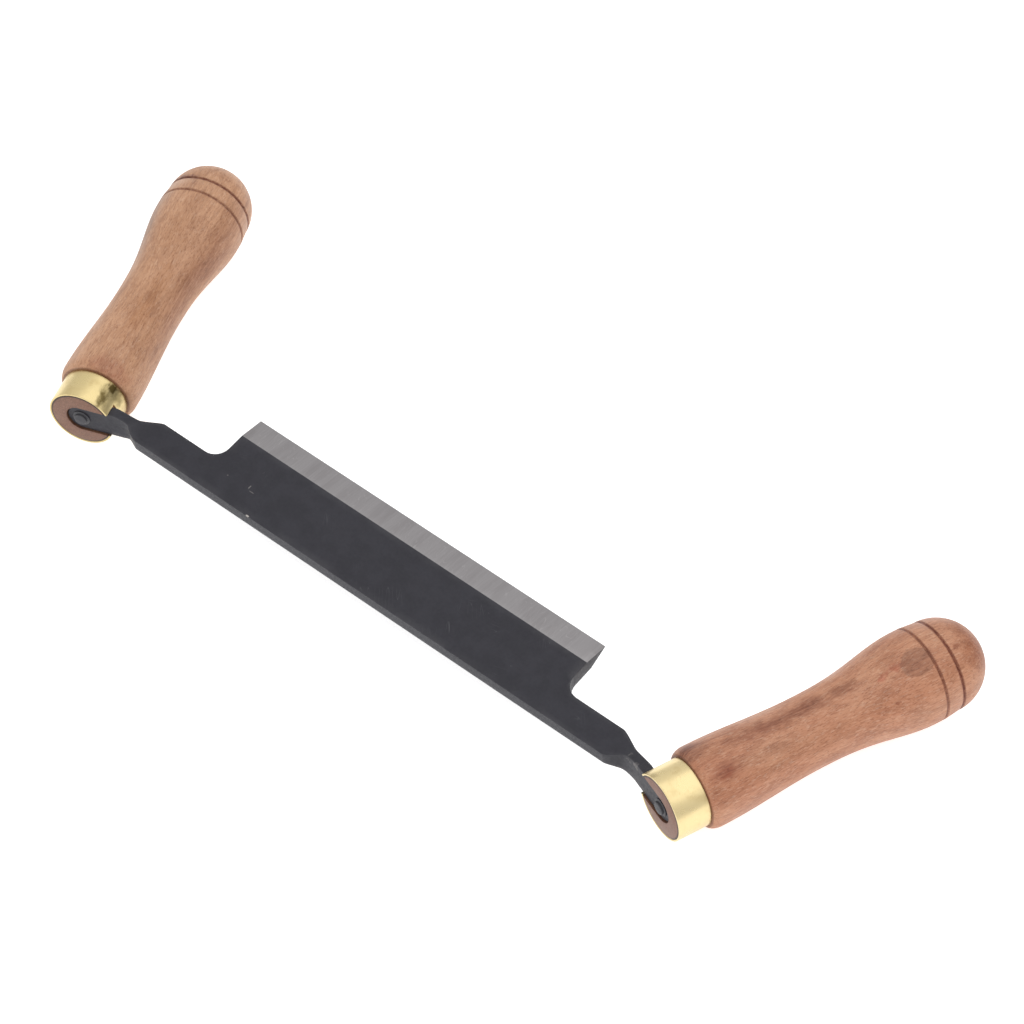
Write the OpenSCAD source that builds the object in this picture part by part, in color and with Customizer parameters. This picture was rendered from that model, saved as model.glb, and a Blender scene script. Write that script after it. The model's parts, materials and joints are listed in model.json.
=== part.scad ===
// Drawknife: a forged two-handled blade with turned beech handles and brass ferrules.
// The blade is drawn flat, spine along X, edge towards +Y. The whole tool is then laid
// down as it rests on a bench, on the shoulders and bulbs of its handles.

/* [Blade] */
// Length of the cutting edge
edge_l = 160; // [120:5:250]
// Width from the spine to the cutting edge
blade_w = 34.6; // [30:0.1:45]
// Thickness of the forging
blade_t = 5.6; // [4.5:0.1:8]
// Width of the ground bevel on the face
bevel_w = 9.7; // [6:0.1:14]
// Width of the ground bevel on the back
back_bevel_w = 8.1; // [4:0.1:14]
// Height of the cutting edge above the flat back
edge_h = 3.5; // [1:0.1:4]

/* [Arms] */
// Width of the bar that runs on past each end of the blade
bar_w = 11.9; // [10:0.1:16]
// Length of that bar, from the end of the blade to the neck
bar_l = 27; // [20:1:30]
// Radius where the bar meets the end of the blade
notch_r = 6; // [2:0.5:10]
// Height of the strip that enters the handle
strip_h = 10.6; // [8:0.1:11]
// Thickness of that strip
strip_t = 4; // [3:0.1:4.5]
// Length of that strip, from the neck to the middle of its eye
strip_l = 17.6; // [15:0.1:20]

/* [Handle placing] */
// Distance of the handle's axis from the end of the blade, at the eye
eye_reach = 54.1; // [52:0.1:65]
// How far the eye stands behind the spine
eye_setback = 3.6; // [0:0.1:5]
// Height of the eye above the flat back
eye_h = 3.3; // [2:0.1:5]
// Angle by which each handle leans outwards
flare = 19; // [5:1:30]
// Angle by which each handle drops below the plane of the blade
drop = 6.2; // [2:0.1:8]

/* [Handles] */
// Length of the wood
handle_l = 128.2; // [126:0.1:140]
// Diameter at the shoulder
shoulder_d = 29.7; // [28:0.1:32]
// Diameter at the waist
waist_d = 25.8; // [22:0.1:28]
// Diameter at the bulb
bulb_d = 34.6; // [33.6:0.1:38]
// Radius of the round butt
butt_r = 16.7; // [15:0.1:16.7]
// Distance from the ferrule end to the waist
waist_at = 58.5; // [45:0.5:65]
// Distance from the ferrule end to the bulb
bulb_at = 102; // [95:0.5:102]
// Depth of the two turned grooves
groove_d = 0.7; // [0.3:0.1:1.2]
// Width of the two turned grooves
groove_w = 1.6; // [0.8:0.1:2.4]

/* [Ferrules] */
// Outer diameter of the brass tube
ferrule_d = 25; // [24:0.1:27]
// Wall of the brass tube
ferrule_wall = 1; // [0.8:0.1:1.5]
// Length of the brass tube
ferrule_l = 12.7; // [10:0.1:16]

/* [Tang rods and washers] */
// Diameter of the steel rod through each handle
rod_d = 4.5; // [4:0.1:5]
// Diameter of the rod's riveted head on the arm
head_d = 6.6; // [6:0.1:8]
// Height of that head
head_h = 1.5; // [1:0.1:2]
// Outer diameter of the washer at the butt
washer_d = 10; // [8:0.5:12]
// Thickness of that washer
washer_t = 1.2; // [0.8:0.1:1.6]

/* [Hidden] */
$fn = 96;
left = -1;
right = 1;
// Reach of a cutting shape past the surface that it cuts
over = 1;
// Radial gap round the rod and inside the ferrule
gap = 0.05;

// Eye of the right arm, in the flat blade's frame
eye = [edge_l / 2 + eye_reach, -eye_setback, eye_h];
bar_end = edge_l / 2 + bar_l;
// How far the neck runs on inside the strip, and how far it stays in from its faces
neck_lap = 2;
neck_inset = 0.6;

// Distances along a handle's axis, from the wood's end at the ferrule
strip_front = 0.8;
strip_back = strip_front + strip_t;
// The ferrule's notch runs a little deeper than the strip, and its sides stand off it
notch_floor = 1.2;
notch_depth = strip_back + notch_floor;
notch_gap = 0.2;
// The slot in the wood is a little taller and longer than the strip
slot_gap = 0.4;

// Turned shape of the handle
shoulder_r = shoulder_d / 2;
waist_r = waist_d / 2;
bulb_r = bulb_d / 2;
shoulder_round = 4;
// The wood starts this much proud of the brass
shoulder_lip = 0.3;
shoulder_start_r = ferrule_d / 2 + shoulder_lip;
shoulder_at = ferrule_l + shoulder_round;
butt_centre = handle_l - butt_r;
// The swell to the bulb starts slowly: 1 would be an even wave
swell_lag = 1.35;
curve_steps = 14;
round_steps = 5;
// Middles of the two grooves: one a few widths past the bulb, one where the butt's round starts
groove_step = 1.5;
groove_in = bulb_at + groove_w * groove_step;
groove_out = butt_centre;

// Butt washer: its outer face is level with the rim of its counterbore
washer_seat_r = washer_d / 2 + gap;
washer_top = butt_centre + sqrt(butt_r * butt_r - washer_seat_r * washer_seat_r);
washer_seat = washer_top - washer_t;
burr_h = 1.1;
burr_d = head_d;

// Attitude at rest. The handle's axis rises by axis_rise, so that its shoulder and its
// bulb touch the bench together, and lie_angle turns the flat blade's frame to give that.
axis_rise = asin((bulb_r - shoulder_r) / (bulb_at - shoulder_at));
axis_flat = [sin(flare) * cos(drop), cos(flare) * cos(drop), -sin(drop)];
axis_yz = sqrt(axis_flat.y * axis_flat.y + axis_flat.z * axis_flat.z);
lie_angle = asin(sin(axis_rise) / axis_yz) - atan2(axis_flat.z, axis_flat.y);
// The eye and the axis after that turn
eye_y = eye.y * cos(lie_angle) - eye.z * sin(lie_angle);
eye_z = eye.y * sin(lie_angle) + eye.z * cos(lie_angle);
axis_y = axis_flat.y * cos(lie_angle) - axis_flat.z * sin(lie_angle);
// Lift that puts the handles on the bench
lift = shoulder_r * cos(axis_rise) - shoulder_at * sin(axis_rise) - eye_z;
// Middle of the tool from the ferrules' rims to the butts
rim_y = eye_y - ferrule_d / 2 * sqrt(1 - axis_y * axis_y);
butt_y = eye_y + axis_y * butt_centre + butt_r;
mid_y = (rim_y + butt_y) / 2;

// Smooth step from 0 to 1
function wave(t) = (1 - cos(180 * t)) / 2;

// Quarter round of the shoulder, from the ferrule to the full shoulder radius
function shoulder_points() = [
    for (i = [0 : round_steps])
        let (a = 90 * i / round_steps)
        [shoulder_start_r + (shoulder_r - shoulder_start_r) * sin(a),
         ferrule_l + shoulder_round * (1 - cos(a))]
];

// Shoulder to waist
function waist_points() = [
    for (i = [1 : curve_steps])
        let (t = i / curve_steps)
        [shoulder_r + (waist_r - shoulder_r) * wave(t),
         shoulder_at + (waist_at - shoulder_at) * t]
];

// Waist to bulb
function bulb_points() = [
    for (i = [1 : curve_steps])
        let (t = i / curve_steps)
        [waist_r + (bulb_r - waist_r) * wave(pow(t, swell_lag)),
         waist_at + (bulb_at - waist_at) * t]
];

// Lays the tool on the bench with the origin under its middle
module laid() {
    translate([0, -mid_y, lift])
        rotate([lie_angle, 0, 0])
            children();
}

// Moves a shape drawn about a handle's axis, along +Y from the eye, to its place
module on_handle(side) {
    mirror([side == left ? 1 : 0, 0, 0])
        translate(eye)
            rotate([0, 0, -flare])
                rotate([-drop, 0, 0])
                    children();
}

// Round bar along the handle's axis, between two distances from the eye
module along(from, to, r) {
    translate([0, from, 0])
        rotate([-90, 0, 0])
            cylinder(h = to - from, r = r);
}

// Outline of blade and bars seen from above, with a round corner in each notch
module blade_plan() {
    square_end = edge_l / 2;
    translate([-square_end, 0])
        square([edge_l, blade_w]);
    translate([-bar_end, 0])
        square([2 * bar_end, bar_w]);
    for (side = [left, right])
        mirror([side == left ? 1 : 0, 0])
            difference() {
                translate([square_end - over, bar_w - over])
                    square(notch_r + over);
                translate([square_end + notch_r, bar_w + notch_r])
                    circle(r = notch_r);
            }
}

// Section across the blade: flat back, flat face, and a ground bevel on each
module blade_section() {
    polygon([
        [0, 0],
        [blade_w - back_bevel_w, 0],
        [blade_w, edge_h],
        [blade_w - bevel_w, blade_t],
        [0, blade_t]
    ]);
}

// The strip that enters the handle, standing on edge across the handle's axis
module strip() {
    translate([-strip_l, strip_front, -strip_h / 2])
        cube([strip_l, strip_t, strip_h]);
    along(strip_front, strip_back, strip_h / 2);
}

// Tapered neck of the right arm: the bar's end narrows and grows taller into the strip.
// It ends inside the strip, neck_lap beyond the strip's start.
module neck() {
    out = [cos(flare), -sin(flare)];
    forward = [sin(flare), cos(flare)];
    root = [eye.x, eye.y] - out * strip_l;
    tip = root + out * neck_lap;
    front = forward * (strip_front + neck_inset);
    back = forward * (strip_back - neck_inset);
    low = eye.z - strip_h / 2 + neck_inset / 2;
    high = eye.z + strip_h / 2 - neck_inset / 2;
    deep = blade_w;
    intersection() {
        translate([0, 0, -deep / 2])
            linear_extrude(height = deep)
                polygon([
                    [bar_end - over, 0],
                    [bar_end, 0],
                    root + front,
                    tip + front,
                    tip + back,
                    root + back,
                    [bar_end, bar_w],
                    [bar_end - over, bar_w]
                ]);
        translate([0, deep / 2, 0])
            rotate([90, 0, 0])
                linear_extrude(height = deep)
                    polygon([
                        [bar_end - over, 0],
                        [bar_end, 0],
                        [root.x, low],
                        [eye.x, low],
                        [eye.x, high],
                        [root.x, high],
                        [bar_end, blade_t],
                        [bar_end - over, blade_t]
                    ]);
    }
}

// Blade, bars, necks, strips and eyes: one forging
module blade() {
    color("dimgray")
        laid()
            difference() {
                union() {
                    intersection() {
                        linear_extrude(height = blade_t)
                            blade_plan();
                        translate([-bar_end, 0, 0])
                            rotate([90, 0, 90])
                                linear_extrude(height = 2 * bar_end)
                                    blade_section();
                    }
                    for (side = [left, right]) {
                        mirror([side == left ? 1 : 0, 0, 0])
                            neck();
                        on_handle(side)
                            strip();
                    }
                }
                for (side = [left, right])
                    on_handle(side)
                        along(strip_front - over, strip_back + over, rod_d / 2 + gap);
            }
}

// Turned beech handle: spigot, shoulder, waist, bulb with two grooves, and round butt
module handle(side) {
    spigot_r = ferrule_d / 2 - ferrule_wall - gap;
    slot_h = strip_h + 2 * slot_gap;
    color("peru")
        laid()
            on_handle(side)
                difference() {
                    rotate([-90, 0, 0])
                        union() {
                            rotate_extrude()
                                polygon(concat(
                                    [[0, 0], [spigot_r, 0], [spigot_r, ferrule_l]],
                                    shoulder_points(),
                                    waist_points(),
                                    bulb_points(),
                                    [
                                        [bulb_r, groove_in - groove_w / 2],
                                        [bulb_r - groove_d, groove_in],
                                        [bulb_r, groove_in + groove_w / 2],
                                        [butt_r, groove_out - groove_w / 2],
                                        [butt_r - groove_d, groove_out],
                                        [0, groove_out]
                                    ]
                                ));
                            intersection() {
                                translate([0, 0, butt_centre])
                                    sphere(r = butt_r);
                                translate([0, 0, butt_centre])
                                    rotate_extrude()
                                        polygon([
                                            [0, 0],
                                            [butt_r - groove_d, 0],
                                            [butt_r + over, groove_w],
                                            [butt_r + over, butt_r + over],
                                            [0, butt_r + over]
                                        ]);
                            }
                        }
                    translate([-ferrule_d, -over, -slot_h / 2])
                        cube([ferrule_d, over + strip_back, slot_h]);
                    along(-over, strip_back, slot_h / 2);
                    along(-over, handle_l + over, rod_d / 2 + gap);
                    along(washer_seat, handle_l + over, washer_seat_r);
                }
}

// Brass tube round the spigot, notched on its inner side for the strip
module ferrule(side) {
    notch_h = strip_h + 2 * notch_gap;
    color("gold")
        laid()
            on_handle(side)
                difference() {
                    along(0, ferrule_l, ferrule_d / 2);
                    along(-over, ferrule_l + over, ferrule_d / 2 - ferrule_wall);
                    translate([-ferrule_d, -over, -notch_h / 2])
                        cube([ferrule_d, over + notch_depth, notch_h]);
                }
}

// Steel rod through eye and handle, riveted flat at the eye and domed at the butt
module tang_rod(side) {
    color("slategray")
        laid()
            on_handle(side) {
                along(strip_front, washer_top, rod_d / 2);
                translate([0, strip_front, 0])
                    rotate([90, 0, 0])
                        riveted_end(head_d, head_h);
                translate([0, washer_top, 0])
                    rotate([-90, 0, 0])
                        riveted_end(burr_d, burr_h);
            }
}

// Head of a riveted end, with a sloping shoulder above a straight rim
module riveted_end(d, h) {
    rim_share = 0.5;
    top_share = 0.7;
    cylinder(h = h * rim_share, d = d);
    translate([0, 0, h * rim_share])
        cylinder(h = h * (1 - rim_share), d1 = d, d2 = d * top_share);
}

// Steel washer that the rod is riveted over, let into the butt
module butt_washer(side) {
    color("gray")
        laid()
            on_handle(side)
                difference() {
                    along(washer_seat, washer_top, washer_d / 2);
                    along(washer_seat - over, washer_top + over, rod_d / 2 + gap);
                }
}

blade();
handle(left);  // handle_left
handle(right);  // handle_right
ferrule(left);  // ferrule_left
ferrule(right);  // ferrule_right
tang_rod(left);  // tang_rod_left
tang_rod(right);  // tang_rod_right
butt_washer(left);  // butt_washer_left
butt_washer(right);  // butt_washer_right
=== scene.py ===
"""Drawknife: the finished look of the forged blade, turned handles, brass ferrules and riveted rods."""

import json
import math

import bmesh
import bpy
from bpy.props import FloatProperty, FloatVectorProperty, IntProperty, PointerProperty, StringProperty
from mathutils import Matrix, Vector


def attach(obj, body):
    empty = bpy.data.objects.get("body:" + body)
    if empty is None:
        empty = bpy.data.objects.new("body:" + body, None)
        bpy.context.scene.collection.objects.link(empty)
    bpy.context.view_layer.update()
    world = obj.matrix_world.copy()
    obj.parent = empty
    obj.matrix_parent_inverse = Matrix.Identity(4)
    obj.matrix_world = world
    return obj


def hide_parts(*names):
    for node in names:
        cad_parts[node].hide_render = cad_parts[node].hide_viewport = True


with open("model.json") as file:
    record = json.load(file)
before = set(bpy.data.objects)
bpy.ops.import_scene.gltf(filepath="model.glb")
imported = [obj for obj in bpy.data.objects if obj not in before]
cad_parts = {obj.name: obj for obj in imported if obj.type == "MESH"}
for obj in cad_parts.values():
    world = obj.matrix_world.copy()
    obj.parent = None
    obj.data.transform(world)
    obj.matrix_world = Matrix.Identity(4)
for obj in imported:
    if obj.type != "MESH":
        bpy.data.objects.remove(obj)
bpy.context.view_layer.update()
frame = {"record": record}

bl_info = {
    "name": "Drawknife",
    "version": (1, 0, 0),
    "blender": (4, 5, 0),
    "location": "3D View > Sidebar > Drawknife",
    "description": "Builds a two-handled drawknife with a forged blade and turned beech handles",
    "category": "Add Mesh",
}

MM = 0.001
SIDES = {"left": -1, "right": 1}

# Where the tool lies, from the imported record: the blade's two flats and the right handle's waist
MOUNTS = {mount["name"]: mount for mount in frame["record"]["mounts"]}
FACE_AT = Vector(MOUNTS["blade_face"]["pos_m"])
BACK_AT = Vector(MOUNTS["blade_back"]["pos_m"])
FACE_UP = Vector(MOUNTS["blade_face"]["axis"]).normalized()
WAIST_POINT = Vector(MOUNTS["grip_right"]["pos_m"])
HANDLE_AXIS = Vector(MOUNTS["grip_right"]["axis"]).normalized()
HANDLE_OUT = HANDLE_AXIS.cross(FACE_UP).normalized()
HANDLE_UP = HANDLE_OUT.cross(HANDLE_AXIS).normalized()
BLADE_ACROSS = FACE_UP.cross(Vector((1, 0, 0))).normalized()
BLADE_T = (FACE_AT - BACK_AT).dot(FACE_UP)

CLEARANCE = 0.05 * MM  # all round the rods, washers and spigots
STRIP_AT = 0.8 * MM  # from the end of a handle to the strip let into it


# ---------------------------------------------------------------- settings

def millimetres(name, description, default, low, high):
    """A length that is given in millimetres."""
    return FloatProperty(
        name=name, description=description, default=default * MM, min=low * MM, max=high * MM, unit="LENGTH")


def paint(name, description, default):
    """A colour that is given as sRGB hex."""
    return StringProperty(name=name, description=f"{description}, as sRGB hex", default=default)


class BladeSettings(bpy.types.PropertyGroup):
    """Sizes of the forging."""

    edge_length: millimetres("Edge length", "Length of the cutting edge", 160, 120, 250)
    width: millimetres("Blade width", "From the spine to the cutting edge", 34.6, 30, 45)
    thickness: millimetres("Thickness", "Thickness of the forging", BLADE_T / MM, 4, 8)
    face_bevel: millimetres("Face bevel", "Width of the ground bevel on the face", 9.7, 6, 14)
    back_bevel: millimetres("Back bevel", "Width of the ground bevel on the back", 8.1, 4, 14)
    edge_height: millimetres("Edge height", "Height of the cutting edge above the flat back", 3.5, 1, 4)
    bar_width: millimetres("Bar width", "Width of the bar past each end of the blade", 11.9, 10, 16)
    bar_length: millimetres("Bar length", "From the end of the blade to the neck", 27, 20, 30)
    notch_radius: millimetres("Notch radius", "Radius where the bar meets the end of the blade", 6, 2, 10)
    strip_height: millimetres("Strip height", "Height of the strip that enters the handle", 10.6, 8, 11)
    strip_thickness: millimetres("Strip thickness", "Thickness of that strip", 4, 3, 4.5)
    edge_round: millimetres("Edge rounding", "Radius of the forging's worn edges", 0.4, 0.1, 1)


class HandleSettings(bpy.types.PropertyGroup):
    """Sizes of a turned handle."""

    length: millimetres("Length", "Length of the wood", 128.2, 126, 140)
    shoulder: millimetres("Shoulder", "Diameter at the shoulder", 29.7, 28, 32)
    waist: millimetres("Waist", "Diameter at the waist", 25.8, 22, 28)
    bulb: millimetres("Bulb", "Diameter at the bulb", 34.6, 33.6, 38)
    butt_radius: millimetres("Butt radius", "Radius of the round butt", 16.7, 15, 16.7)
    waist_at: millimetres("Waist from ferrule end", "Distance along the handle to its waist", 58.5, 45, 65)
    bulb_at: millimetres("Bulb from ferrule end", "Distance along the handle to its bulb", 102, 95, 102)
    groove_depth: millimetres("Groove depth", "Depth of the two turned grooves", 0.5, 0.3, 1.2)
    groove_width: millimetres("Groove width", "Width of the two turned grooves", 1.3, 0.8, 2.4)
    groove_at: millimetres(
        "First groove past the bulb", "From the bulb to the middle of the first groove", 2.4, 1, 4)
    # The left handle's beech is lighter and greyer than the right's: painted light, for how that handle is
    # lit
    left_colour: paint("Left wood", "Colour of the left handle's beech", "BA8B69")
    right_colour: paint("Right wood", "Colour of the right handle's beech", "B47959")


class FittingSettings(bpy.types.PropertyGroup):
    """Sizes of the ferrules, rods and washers."""

    ferrule_diameter: millimetres("Ferrule diameter", "Outer diameter of the brass tube", 25, 24, 27)
    ferrule_wall: millimetres("Ferrule wall", "Wall of the brass tube", 0.75, 0.6, 1.5)
    ferrule_length: millimetres("Ferrule length", "Length of the brass tube", 12.7, 10, 16)
    rod_diameter: millimetres("Rod diameter", "Diameter of the rod through each handle", 4.5, 4, 5)
    head_diameter: millimetres("Head diameter", "Diameter of the rod's riveted head", 6.6, 6, 8)
    head_height: millimetres("Head height", "Height of that head", 1.5, 1, 2)
    washer_diameter: millimetres("Washer diameter", "Outer diameter of the washer at the butt", 10, 8, 12)
    washer_thickness: millimetres("Washer thickness", "Thickness of that washer", 1.2, 0.8, 1.6)
    left_brass: paint("Left brass", "Colour of the left ferrule's brass", "D8C490")
    right_brass: paint("Right brass", "Colour of the right ferrule's brass", "E2CE9C")


class StageSettings(bpy.types.PropertyGroup):
    """Camera and light."""

    azimuth: FloatProperty(
        name="Azimuth", description="Direction of the camera round the tool",
        default=math.radians(40.27), subtype="ANGLE")
    elevation: FloatProperty(
        name="Elevation", description="Height of the camera above the horizon",
        default=math.radians(49.41), subtype="ANGLE")
    distance: FloatProperty(
        name="Distance", description="From the camera to the point that it looks at",
        default=1.3378, min=0.5, max=5, unit="LENGTH")
    lens: FloatProperty(
        name="Lens", description="Focal length on a 36 mm sensor, in millimetres",
        default=131.06, min=35, max=300)
    aim: FloatVectorProperty(
        name="Aim", description="Point on the floor that the camera looks at",
        default=(0.0055, 0.0173, 0.0), size=3, subtype="TRANSLATION")
    floor_colour: paint("Floor", "Colour of the floor", "DEDEDE")


class DrawknifeSettings(bpy.types.PropertyGroup):
    """All the sizes and colours of the tool and its stage."""

    blade: PointerProperty(type=BladeSettings)
    handle: PointerProperty(type=HandleSettings)
    fitting: PointerProperty(type=FittingSettings)
    stage: PointerProperty(type=StageSettings)
    steps_around: IntProperty(
        name="Steps around", description="Facets round each turned piece",
        default=144, min=24, max=256)


# ---------------------------------------------------------------- placing

def blade_matrix(blade):
    """Turns the flat blade's frame, spine along X and edge towards +Y, to where the blade lies."""
    back_middle = (blade.width - blade.back_bevel) / 2
    corner = BACK_AT - BLADE_ACROSS * back_middle
    turned = Matrix((Vector((1, 0, 0)), BLADE_ACROSS, FACE_UP)).transposed().to_4x4()
    return Matrix.Translation(corner) @ turned


def handle_matrix(handle):
    """Turns a shape drawn along +Y from the eye, x outwards, to the right handle's place."""
    eye = WAIST_POINT - HANDLE_AXIS * handle.waist_at
    turned = Matrix((HANDLE_OUT, HANDLE_AXIS, HANDLE_UP)).transposed().to_4x4()
    return Matrix.Translation(eye) @ turned


def place(mesh, matrix, side):
    """Moves a mesh to its place on the right, or mirrored on the left, with its faces outwards."""
    mesh.transform(matrix)
    if side == "left":
        mesh.transform(Matrix.Scale(-1, 4, (1, 0, 0)))
        mesh.flip_normals()
    mesh.update()


# ---------------------------------------------------------------- mesh helpers

def new_piece(name, mesh):
    piece = bpy.data.objects.new(name, mesh)
    bpy.context.scene.collection.objects.link(piece)
    return piece


def bake_modifiers(piece):
    """Turns a piece with live modifiers into a plain mesh."""
    graph = bpy.context.evaluated_depsgraph_get()
    graph.update()
    mesh = bpy.data.meshes.new_from_object(piece.evaluated_get(graph))
    piece.modifiers.clear()
    old = piece.data
    piece.data = mesh
    mesh.name = piece.name
    bpy.data.meshes.remove(old)
    return mesh


def smooth_by_angle(mesh, degrees=32):
    mesh.polygons.foreach_set("use_smooth", [True] * len(mesh.polygons))
    mesh.set_sharp_from_angle(angle=math.radians(degrees))


def store_places(mesh, matrix):
    """Keeps each vertex's place in the piece's own frame, for patterns that follow the piece."""
    inverse = matrix.inverted()
    places = mesh.attributes.new("place", "FLOAT_VECTOR", "POINT")
    flat = [value for vertex in mesh.vertices for value in inverse @ vertex.co]
    places.data.foreach_set("vector", flat)


def store_wear_and_highlight(mesh):
    """Keeps how sharply the surface turns at each vertex, from 0 on a flat to 1 on an edge."""
    bm = bmesh.new()
    bm.from_mesh(mesh)
    full = math.radians(40)
    wear_and_highlight = []
    for vertex in bm.verts:
        turns = [edge.calc_face_angle(0) for edge in vertex.link_edges]
        wear_and_highlight.append(min(1.0, max(turns, default=0) / full))
    bm.free()
    layer = mesh.attributes.new("wear_and_highlight", "FLOAT", "POINT")
    layer.data.foreach_set("value", wear_and_highlight)


def cut(piece, cutter_mesh, name):
    """Takes a closed shape out of a piece."""
    cutter_mesh.materials.append(piece.data.materials[0])
    cutter = new_piece(name, cutter_mesh)
    boolean = piece.modifiers.new(name, "BOOLEAN")
    boolean.operation = "DIFFERENCE"
    boolean.solver = "EXACT"
    boolean.object = cutter
    bake_modifiers(piece)
    bpy.data.objects.remove(cutter)
    bpy.data.meshes.remove(cutter_mesh)


def prism(name, outline, low, high):
    """Closed prism over an outline of (x, z) points, between two distances along +Y."""
    bm = bmesh.new()
    rings = [[bm.verts.new((x, y, z)) for x, z in outline] for y in (low, high)]
    bm.faces.new(rings[0])
    bm.faces.new(list(reversed(rings[1])))
    count = len(outline)
    for i in range(count):
        j = (i + 1) % count
        bm.faces.new((rings[0][i], rings[0][j], rings[1][j], rings[1][i]))
    bmesh.ops.recalc_face_normals(bm, faces=bm.faces)
    mesh = bpy.data.meshes.new(name)
    bm.to_mesh(mesh)
    bm.free()
    return mesh


def slot_outline(reach, half_height, steps=24):
    """Outline of a slot that is open towards -x and ends round the axis."""
    arc = [math.pi / 2 - math.pi * i / steps for i in range(steps + 1)]
    around = [(half_height * math.cos(a), half_height * math.sin(a)) for a in arc]
    return [(-reach, half_height)] + around + [(-reach, -half_height)]


# ---------------------------------------------------------------- node helper

SMOOTH = {"interpolation_type": "SMOOTHSTEP"}


def add(tree, kind, inputs=(), out=0, **settings):
    """Adds a node and returns one of its outputs. inputs are values or the sockets that feed them,
    in order or by name or number. settings are the node's own properties."""
    made = tree.nodes.new(kind)
    for name, value in settings.items():
        setattr(made, name, value)
    for name, value in inputs.items() if isinstance(inputs, dict) else enumerate(inputs):
        if isinstance(value, bpy.types.NodeSocket):
            tree.links.new(value, made.inputs[name])
        else:
            made.inputs[name].default_value = value
    return made.outputs[out] if len(made.outputs) else None


# ---------------------------------------------------------------- turning

def turning_tree():
    """Geometry Nodes that turn a profile of (radius, distance along the axis) points about +Y."""
    tree = bpy.data.node_groups.new("Turned on a lathe", "GeometryNodeTree")
    given = {"Profile": "Geometry", "Steps Around": "Int", "Weld Distance": "Float", "Material": "Material"}
    for name, kind in given.items():
        tree.interface.new_socket(name, in_out="INPUT", socket_type=f"NodeSocket{kind}")
    tree.interface.new_socket("Piece", in_out="OUTPUT", socket_type="NodeSocketGeometry")
    given = add(tree, "NodeGroupInput").node.outputs
    steps = given["Steps Around"]
    rows = add(tree, "GeometryNodeAttributeDomainSize", {"Geometry": given["Profile"]}, "Point Count")
    columns = add(tree, "ShaderNodeMath", (steps, 1.0), operation="ADD")
    last_row = add(tree, "ShaderNodeMath", (rows, 1.0), operation="SUBTRACT")
    grid = add(tree, "GeometryNodeMeshGrid", {
        "Size X": last_row, "Size Y": steps, "Vertices X": rows, "Vertices Y": columns})
    spot = add(tree, "ShaderNodeSeparateXYZ", [add(tree, "GeometryNodeInputPosition")]).node.outputs
    middle_row = add(tree, "ShaderNodeMath", (last_row, 0.5), operation="MULTIPLY")
    row = add(tree, "ShaderNodeMath", (spot[0], middle_row), operation="ADD")
    row = add(tree, "ShaderNodeMath", [row], operation="ROUND")
    share = add(tree, "ShaderNodeMath", (spot[1], steps), operation="DIVIDE")
    angle = add(tree, "ShaderNodeMath", (share, 2 * math.pi), operation="MULTIPLY")
    point = add(tree, "GeometryNodeInputPosition")
    sample = add(tree, "GeometryNodeSampleIndex", {
        "Geometry": given["Profile"], "Value": point, "Index": row}, data_type="FLOAT_VECTOR")
    radius, along, _ = add(tree, "ShaderNodeSeparateXYZ", [sample]).node.outputs
    cosine = add(tree, "ShaderNodeMath", [angle], operation="COSINE")
    sine = add(tree, "ShaderNodeMath", [angle], operation="SINE")
    across = add(tree, "ShaderNodeMath", (radius, cosine), operation="MULTIPLY")
    up = add(tree, "ShaderNodeMath", (radius, sine), operation="MULTIPLY")
    target = add(tree, "ShaderNodeCombineXYZ", (across, along, up))
    turned = add(tree, "GeometryNodeSetPosition", {"Geometry": grid, "Position": target})
    welded = add(tree, "GeometryNodeMergeByDistance", {
        "Geometry": turned, "Distance": given["Weld Distance"]})
    real = add(tree, "GeometryNodeRealizeInstances", [welded])
    coated = add(tree, "GeometryNodeSetMaterial", {"Geometry": real, "Material": given["Material"]})
    add(tree, "NodeGroupOutput", {"Piece": coated})
    return tree


def turn(name, profile, material, steps):
    """A closed piece turned from a closed profile of (radius, distance along +Y) points."""
    outline = bpy.data.meshes.new(name)
    closed = profile + [profile[0]]
    outline.from_pydata([(r, s, 0) for r, s in closed], [], [])
    piece = new_piece(name, outline)
    tree = bpy.data.node_groups.get("Turned on a lathe") or turning_tree()
    modifier = piece.modifiers.new("Turning", "NODES")
    modifier.node_group = tree
    values = {"Steps Around": steps, "Weld Distance": 0.01 * MM, "Material": material}
    for item in tree.interface.items_tree:
        if item.in_out == "INPUT" and item.name in values:
            modifier[item.identifier] = values[item.name]
    mesh = bake_modifiers(piece)
    bm = bmesh.new()
    bm.from_mesh(mesh)
    on_axis = [edge for edge in bm.edges if not edge.link_faces]
    bmesh.ops.delete(bm, geom=on_axis, context="EDGES")
    bmesh.ops.recalc_face_normals(bm, faces=bm.faces)
    bm.to_mesh(mesh)
    bm.free()
    mesh.materials.clear()
    mesh.materials.append(material)
    mesh.polygons.foreach_set("material_index", [0] * len(mesh.polygons))
    return piece


# ---------------------------------------------------------------- blade

def mix(a, b, t):
    return a + (b - a) * t


def hermite(start, leaving, end, arriving, t):
    """Point on a smooth curve that leaves start along leaving and reaches end along arriving."""
    return (start * (2 * t ** 3 - 3 * t ** 2 + 1) + leaving * (t ** 3 - 2 * t ** 2 + t)
            + end * (3 * t ** 2 - 2 * t ** 3) + arriving * (t ** 3 - t ** 2))


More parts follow.
